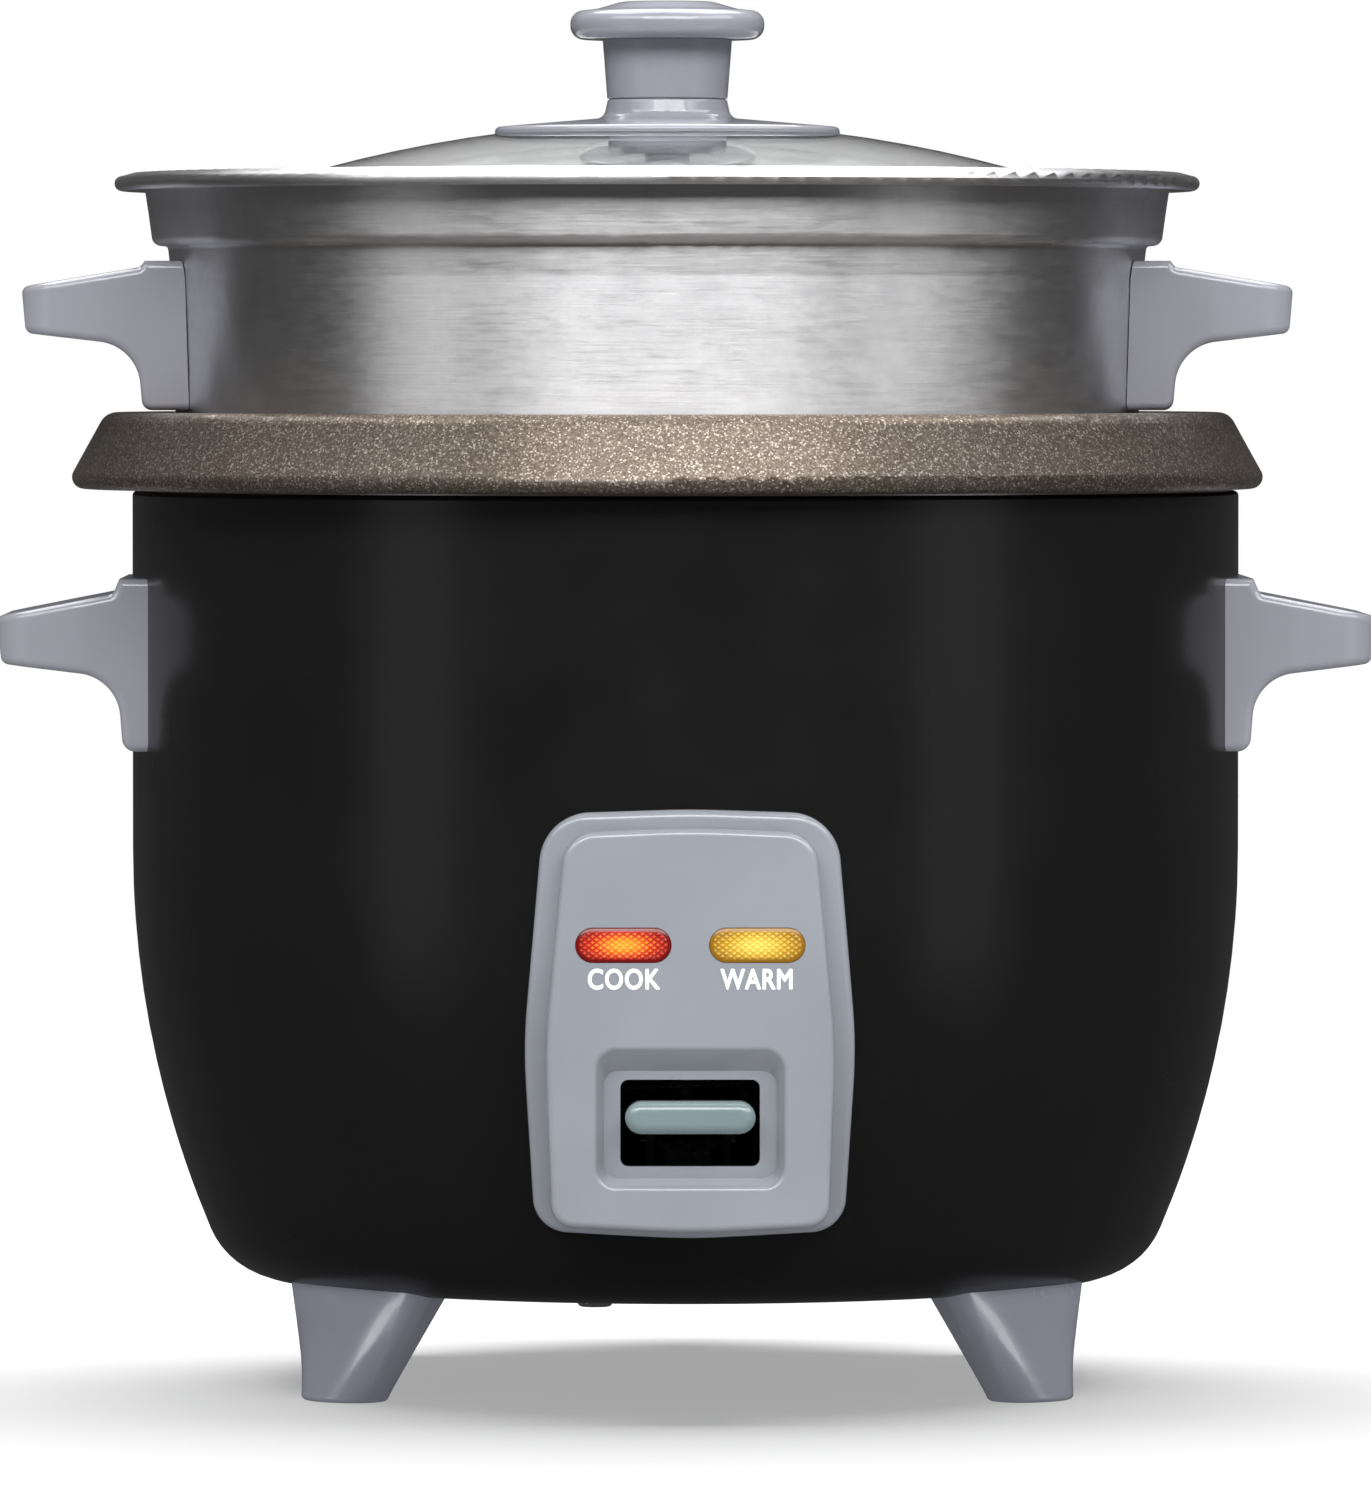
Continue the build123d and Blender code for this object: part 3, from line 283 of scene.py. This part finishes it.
def brushed_aluminium():
    """Spun aluminium: fine rings around the axis, a few longer scratches across them, and handling marks."""
    shader = Shader("basket_aluminium", Metallic=1.0)
    shader.brushed_around(0.85)
    around = shader.around_z("steamer_basket")
    ring_lines = shader.stretched((60, 3500, 5200), around)
    scratch_lines = shader.stretched((220, 300, 900), around)
    rings = shader.noise(scale=1.0, detail=5, vector=ring_lines, rough=0.65)
    scratches = shader.noise(scale=1.0, detail=3, vector=scratch_lines, rough=0.6)
    marks = shader.noise(scale=130, detail=6, rough=0.75)
    shader.colour(shader.ramp(marks, (0.3, (0.72, 0.72, 0.735)), (0.7, (0.84, 0.84, 0.85))))
    ring_gloss = shader.spread(rings, 0.34, 0.46)
    scratch_gloss = shader.spread(scratches, -0.04, 0.06)
    shader.rough(shader.math("ADD", ring_gloss, scratch_gloss))
    shader.bump(rings, distance=0.00002)
    shader.bump(scratches, distance=0.00002, strength=0.5)
    return shader


FLAKES_PER_METRE = 3600


def speckled_coating():
    """Bronze non-stick coating with metallic flakes in it."""
    shader = Shader("pot_coating", Metallic=0.85)
    shader.brushed_around(0.75)
    flakes = shader.node("ShaderNodeTexVoronoi", feature="F1")
    flakes.inputs["Scale"].default_value = FLAKES_PER_METRE
    shader.link(shader.place(), flakes.inputs["Vector"])
    split = shader.node("ShaderNodeSeparateColor")
    shader.link(flakes.outputs["Color"], split.inputs[0])
    shader.colour(
        shader.ramp(
            split.outputs["Red"],
            (0.0, (0.13, 0.1, 0.08)),
            (0.55, (0.2, 0.16, 0.13)),
            (0.85, (0.3, 0.25, 0.205)),
            (0.97, (0.62, 0.55, 0.48)),
        )
    )
    shader.rough(shader.spread(split.outputs["Green"], 0.3, 0.5, start=0.0, end=1.0))
    shader.bump(split.outputs["Blue"], distance=0.00004)
    return shader


def lid_glass():
    """Clear toughened glass, a little green in its depth."""
    shader = Shader("lid_glass", Transmission_Weight=1.0, IOR=1.5)
    tint = shader.noise(scale=20, detail=2)
    shader.colour(shader.ramp(tint, (0.3, (0.955, 0.975, 0.96)), (0.7, (0.975, 0.985, 0.975))))
    haze = shader.noise(scale=300, detail=3)
    shader.rough(shader.spread(haze, 0.0, 0.02))
    return shader


dress("basket_aluminium", brushed_aluminium())
dress("pot_coating", speckled_coating())
dress("lid_glass", lid_glass())


# ------------------------------------------------------------------ meshes
def mesh_object(name, vertices, faces, material, smooth=True):
    mesh = bpy.data.meshes.new(name)
    mesh.from_pydata(vertices, [], faces)
    mesh.update()
    for polygon in mesh.polygons:
        polygon.use_smooth = smooth
    made = bpy.data.objects.new(name, mesh)
    bpy.context.scene.collection.objects.link(made)
    mesh.materials.append(material)
    return made


# ------------------------------------------------------------------ lamp lenses
LENS_FLANGE = 0.0009  # the CAD lens has a flange this wide behind the panel
LENS_FLANGE_DEPTH = 0.0008
LENS_BORDER = 0.0006  # smooth band inside the lens's outline
LENS_DOME = 0.0003
BORDER_SOFTNESS = 0.3  # the border's colour fades in and out over this share of its width
LENS_STEP = 0.00012  # size of one mesh face of the lens
PRISM_WIDTH, PRISM_TALL = 0.0013, 0.00095
PRISM_HEIGHT = 0.0003
PRISM_FADE = 0.0002  # the prisms reach their full height this far inside the border
PRISM_SHARE = 0.6  # of the brightness, painted as highlights on the prism points; the rest is the glow over the lamp
GLOW_STRETCH = 0.4  # the glow over a lamp is longer than it is tall


def lens_sizes(node):
    """Half the height of the part of a lens in front of its flange, and half its straight length."""
    low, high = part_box(node)
    half_z = (high.z - low.z) / 2 - LENS_FLANGE
    return half_z, (high.x - low.x) / 2 - LENS_FLANGE - half_z


def node_length(shader, first, second):
    """The length of a flat vector, as math nodes."""
    first_square = shader.math("MULTIPLY", first, first)
    second_square = shader.math("MULTIPLY", second, second)
    return shader.math("SQRT", shader.math("ADD", first_square, second_square))


def prism_highlight_pattern(shader, x, z):
    """Math nodes for the lens's diamond pattern: 0 in the grooves, 1 on the points; the lens colour uses it
    as painted highlight on the points and painted shade in the grooves.
    """
    columns = shader.math("DIVIDE", x, PRISM_WIDTH)
    rows = shader.math("DIVIDE", z, PRISM_TALL)
    slopes = []
    for operation in ("ADD", "SUBTRACT"):
        turn = shader.math("FRACT", shader.math(operation, columns, rows))
        slopes.append(shader.math("ABSOLUTE", shader.math("SUBTRACT", turn, 0.5)))
    steepest = shader.math("MAXIMUM", *slopes)
    return shader.math("SUBTRACT", 1.0, shader.math("MULTIPLY", 2.0, steepest))


def lens_material(node, groove_shade, face, glow, strength):
    """A tinted lens lit from behind: brightest over its lamp, with a painted highlight on its prism points
    and painted shade in its border and between its prisms, in both its colour and its glow.
    """
    shader = Shader(node, Roughness=0.25, Specular_IOR_Level=0.35, Coat_Weight=0.3, Coat_Roughness=0.05)
    low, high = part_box(node)
    half_z, straight = lens_sizes(node)
    offset = shader.node("ShaderNodeVectorMath", operation="SUBTRACT")
    offset.inputs[1].default_value = (low + high) / 2
    shader.link(shader.place(), offset.inputs[0])
    split = shader.node("ShaderNodeSeparateXYZ")
    shader.link(offset.outputs[0], split.inputs[0])
    x, z = split.outputs["X"], split.outputs["Z"]
    # painted highlight on the prism points and painted shade in the grooves, on top of the real pyramids of
    # the lens mesh
    painted_prism_highlight = prism_highlight_pattern(shader, x, z)
    past_straight = shader.math("SUBTRACT", shader.math("ABSOLUTE", x), straight)
    beyond = shader.math("MAXIMUM", 0.0, past_straight)
    depth = shader.math("SUBTRACT", half_z, node_length(shader, beyond, z))
    starts, ends = LENS_BORDER * (1 - BORDER_SOFTNESS), LENS_BORDER * (1 + BORDER_SOFTNESS)
    # the smooth border gets neither glow nor highlight, so it is painted in the dark groove shade
    in_field = shader.spread(depth, 0.0, 1.0, start=starts, end=ends)
    from_lamp = node_length(shader, shader.math("MULTIPLY", x, GLOW_STRETCH), z)
    over_lamp = shader.spread(from_lamp, 1.0, 0.0, start=0.0, end=half_z)
    bright = shader.math("ADD", shader.math("MULTIPLY", painted_prism_highlight, PRISM_SHARE), over_lamp)
    lit = shader.math("MULTIPLY", in_field, bright)
    tone = shader.ramp(lit, (0.0, groove_shade), (0.5, face), (1.0, glow))
    shader.colour(tone)
    shader.link(tone, shader.bsdf.inputs["Emission Color"])
    shader.bsdf.inputs["Emission Strength"].default_value = strength
    return shader.bump(shader.noise(scale=500, detail=2), distance=0.00003)


def lens_relief(x, z, half_z, straight):
    """How far the lens's front stands forward at a point: its crowned edge, and its prisms."""
    depth = max(0.0, half_z - math.hypot(max(0.0, abs(x) - straight), z))
    rising = abs((x / PRISM_WIDTH + z / PRISM_TALL) % 1.0 - 0.5)
    falling = abs((x / PRISM_WIDTH - z / PRISM_TALL) % 1.0 - 0.5)
    pyramid = PRISM_HEIGHT * (1.0 - 2.0 * max(rising, falling))
    fade = min(1.0, max(0.0, depth - LENS_BORDER) / PRISM_FADE)
    crown = LENS_DOME * min(1.0, depth / LENS_BORDER) ** 0.5
    return crown + pyramid * fade


def grid_border(count_x, count_z):
    """The points round the edge of a grid of count_x by count_z faces, in order."""
    row = count_x + 1
    bottom_row = list(range(row))
    right_column = [j * row + count_x for j in range(1, count_z + 1)]
    top_row = [count_z * row + i for i in range(count_x - 1, -1, -1)]
    left_column = [j * row for j in range(count_z - 1, 0, -1)]
    return bottom_row + right_column + top_row + left_column


def lens(node, material):
    """A lens with a field of small pyramids inside a smooth border: it stands for the CAD's plain lens."""
    low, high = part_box(node)
    centre = (low + high) / 2
    half_z, straight = lens_sizes(node)
    lowest_front = low.y + LENS_DOME + PRISM_HEIGHT
    vertices, faces = [], []
    count_x = round(2 * (straight + half_z) / LENS_STEP)
    count_z = round(2 * half_z / LENS_STEP)
    for j in range(count_z + 1):
        z = half_z * (2.0 * j / count_z - 1.0)
        half_width = straight + math.sqrt(max(0.0, half_z**2 - z**2))
        for i in range(count_x + 1):
            x = half_width * (2.0 * i / count_x - 1.0)
            y = lowest_front - lens_relief(x, z, half_z, straight)
            vertices.append((centre.x + x, y, centre.z + z))
    row = count_x + 1
    for j in range(count_z):
        for i in range(count_x):
            first = j * row + i
            faces.append((first, first + 1, first + row + 1, first + row))
    border = grid_border(count_x, count_z)
    back = []
    for edge_point in border:
        x, _, z = vertices[edge_point]
        back.append(len(vertices))
        vertices.append((x, high.y - LENS_FLANGE_DEPTH, z))
    for number, edge_point in enumerate(border):
        following = (number + 1) % len(border)
        faces.append((border[following], edge_point, back[number], back[following]))
    faces.append(tuple(reversed(back)))
    made = mesh_object(node + "_prisms", vertices, faces, material.material, smooth=False)
    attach(made, "base")
    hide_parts(node)


LENS_TONES = (  # slot, CAD node, colour in the grooves and border (painted shade), on the faces and over the lamp (the lamp's glow and a painted highlight), and its own light
    ("lens_red", "lamp_lens_cook", (0.12, 0.002, 0.001), (0.5, 0.02, 0.003), (0.95, 0.3, 0.02), 0.25),
    ("lens_amber", "lamp_lens_warm", (0.22, 0.1, 0.004), (0.5, 0.29, 0.02), (0.8, 0.55, 0.09), 0.2),
)
for slot, node, *tones in LENS_TONES:
    tinted = lens_material(node, *tones)
    dress(slot, tinted)
    lens(node, tinted)

# ------------------------------------------------------------------ printed words
ink = Shader("white_ink", Roughness=0.5)
ink_wear = ink.noise(scale=700, detail=3)
ink.colour(ink.ramp(ink_wear, (0.3, (0.86, 0.86, 0.87)), (0.7, (0.95, 0.95, 0.96))))

FONT_CAP_SHARE = 0.69  # height of a capital in a font of size 1
LETTER_SPACING = 1.1
CAP_HEIGHT = 0.0033
WORD_WIDTH = 0.0122
WORD_DROP = 0.0059  # from the middle of the lamp to the middle of its word
INK_FILM = 0.00004
BOLD_REACH = 0.00013
BOLD_LAYERS = 12


def flat_letters(text):
    """A flat mesh of a word lying in X and Y, centred on the origin, and its width."""
    curve = bpy.data.curves.new("letters", "FONT")
    curve.body = text
    curve.align_x = "CENTER"
    curve.align_y = "CENTER"
    curve.size = CAP_HEIGHT / FONT_CAP_SHARE
    curve.space_character = LETTER_SPACING
    curve.resolution_u = 6
    letters = bpy.data.objects.new("letters", curve)
    bpy.context.scene.collection.objects.link(letters)
    bpy.context.view_layer.update()
    flat = bpy.data.meshes.new_from_object(letters)
    width = letters.dimensions.x
    bpy.data.objects.remove(letters)
    return flat, width


def word(text, under):
    """A printed word centred under a lamp: films of ink, made bold by setting each a hair to one side."""
    low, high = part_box(under)
    panel_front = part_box("control_panel")[0].y
    flat, width = flat_letters(text)
    widen = (WORD_WIDTH - 2 * BOLD_REACH) / width
    middle_x, middle_z = (low.x + high.x) / 2, (low.z + high.z) / 2 - WORD_DROP
    vertices, faces = [], []
    for layer in range(BOLD_LAYERS):
        first = len(vertices)
        turn = math.tau * layer / BOLD_LAYERS
        left = middle_x + BOLD_REACH * math.cos(turn)
        base = middle_z + BOLD_REACH * math.sin(turn)
        front = panel_front - INK_FILM * (1 + layer / BOLD_LAYERS)
        for point in flat.vertices:
            vertices.append((left + point.co.x * widen, front, base + point.co.y))
        for polygon in flat.polygons:
            faces.append(tuple(first + corner for corner in polygon.vertices))
    made = mesh_object("word_" + text.lower(), vertices, faces, ink.material, smooth=False)
    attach(made, "base")


word("COOK", "lamp_lens_cook")
word("WARM", "lamp_lens_warm")

# ------------------------------------------------------------------ floor, world, lights and camera
FLOOR_RADIUS = 1.15
FLOOR_SIDES = 96
FLOOR_GLOW = 0.36
ROOM_LIGHT = 0.06  # what the unlit studio adds all round, next to the white backdrop seen directly
WHITE = (1.0, 1.0, 1.0, 1.0)


def studio_floor():
    """A round pale floor that glows a little, as one lit evenly from far off does."""
    shader = Shader("studio_floor", Roughness=0.9, Emission_Color=WHITE, Emission_Strength=FLOOR_GLOW)
    cloud = shader.noise(scale=3, detail=2)
    shader.colour(shader.ramp(cloud, (0.3, (0.61, 0.61, 0.61)), (0.7, (0.63, 0.63, 0.63))))
    edge = []
    for step in range(FLOOR_SIDES):
        turn = math.tau * step / FLOOR_SIDES
        edge.append((FLOOR_RADIUS * math.cos(turn), FLOOR_RADIUS * math.sin(turn), 0.0))
    return mesh_object("studio_floor", edge, [tuple(range(FLOOR_SIDES))], shader.material)


def studio_world():
    """White where it is seen directly or through the glass, dim where it only adds light."""
    world = bpy.data.worlds.new("studio")
    bpy.context.scene.world = world
    world.use_nodes = True
    sky = world.node_tree
    backdrop = sky.nodes["Background"]
    backdrop.inputs["Color"].default_value = WHITE
    backdrop.inputs["Strength"].default_value = 1.0
    room = sky.nodes.new("ShaderNodeBackground")
    room.inputs["Color"].default_value = WHITE
    room.inputs["Strength"].default_value = ROOM_LIGHT
    rays = sky.nodes.new("ShaderNodeLightPath")
    seen = sky.nodes.new("ShaderNodeMath")
    seen.operation = "MAXIMUM"
    sky.links.new(rays.outputs["Is Camera Ray"], seen.inputs[0])
    sky.links.new(rays.outputs["Is Transmission Ray"], seen.inputs[1])
    blend = sky.nodes.new("ShaderNodeMixShader")
    sky.links.new(seen.outputs[0], blend.inputs[0])
    sky.links.new(room.outputs[0], blend.inputs[1])
    sky.links.new(backdrop.outputs[0], blend.inputs[2])
    sky.links.new(blend.outputs[0], sky.nodes["World Output"].inputs["Surface"])


floor = studio_floor()
floor.visible_glossy = False
floor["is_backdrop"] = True
studio_world()


def soft_light(name, place, target, width, height, power):
    """A rectangular softbox aimed at a point."""
    lamp = bpy.data.lights.new(name, "AREA")
    lamp.shape = "RECTANGLE"
    lamp.size = width
    lamp.size_y = height
    lamp.energy = power
    made = bpy.data.objects.new(name, lamp)
    bpy.context.scene.collection.objects.link(made)
    made.location = place
    made.rotation_euler = (Vector(target) - Vector(place)).to_track_quat("-Z", "Y").to_euler()
    return made


def only_on(lamp, wanted):
    """Makes a lamp light the pieces whose names are wanted and nothing else, not even the floor."""
    lit = bpy.data.collections.new(lamp.name + "_lights")
    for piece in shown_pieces():
        if wanted(piece.name):
            lit.objects.link(piece)
    lamp.light_linking.receiver_collection = lit


def on_all_but(*starts):
    return lambda name: not name.startswith(starts)


def on_feet(name):
    return name.startswith("foot")


low, high = cad_box
middle = [(near + far) / 2 for near, far in zip(low, high)]
on_table = (0.0, 0.0, 0.0)
KEY_DISTANCE = 2.2
KEY_HEIGHT = 1.75
KEY_TALL = 1.1
KEYS = (  # name, degrees round from the front, width, power, what it lights
    ("left_key", -52, 2.1, 28, on_all_but("cooking_pot")),
    ("middle_key", 3, 2.9, 80, on_all_but("foot")),
    ("right_key", 64, 2.4, 34, on_all_but("cooking_pot")),
)
for name, turn, width, power, wanted in KEYS:
    sideways = KEY_DISTANCE * math.sin(math.radians(turn))
    forward = KEY_DISTANCE * math.cos(math.radians(turn))
    only_on(soft_light(name, (sideways, -forward, KEY_HEIGHT), middle, width, KEY_TALL, power), wanted)

BOXES = (  # name, place, target, width, height, power
    ("overhead", (0.0, 0.6, 2.0), on_table, 2.6, 1.9, 85),
    ("left_box", (-1.7, -1.1, 0.35), middle, 0.7, 1.6, 1.1),
    ("right_box", (1.7, -1.1, 0.35), middle, 0.7, 1.6, 1.2),
)
for box in BOXES:
    soft_light(*box)

LOW_PLACE = (1.4, -0.7, 0.12)
LOW_TARGET = (0.0, 0.0, 0.01)
for name, side in (("left_low_light", -1), ("right_low_light", 1)):
    place = (side * LOW_PLACE[0], LOW_PLACE[1], LOW_PLACE[2])
    only_on(soft_light(name, place, LOW_TARGET, width=0.5, height=0.2, power=2.5), on_feet)

CAMERA_DISTANCE = 2.2509
CAMERA_HEIGHT = 0.1807
CAMERA_PITCH = math.radians(1.77)
CAMERA_TURN = math.radians(-0.46)
CAMERA_LENS, CAMERA_SENSOR = 306.1, 36.0  # millimetres
camera = bpy.data.objects.new("camera", bpy.data.cameras.new("camera"))
bpy.context.scene.collection.objects.link(camera)
camera.data.lens = CAMERA_LENS
camera.data.sensor_width = CAMERA_SENSOR
camera.location = (
    CAMERA_DISTANCE * math.sin(CAMERA_TURN),
    -CAMERA_DISTANCE * math.cos(CAMERA_TURN),
    CAMERA_HEIGHT,
)
camera.rotation_euler = (math.pi / 2 - CAMERA_PITCH, 0, CAMERA_TURN)
bpy.context.scene.camera = camera
bpy.context.scene.view_settings.view_transform = "Standard"
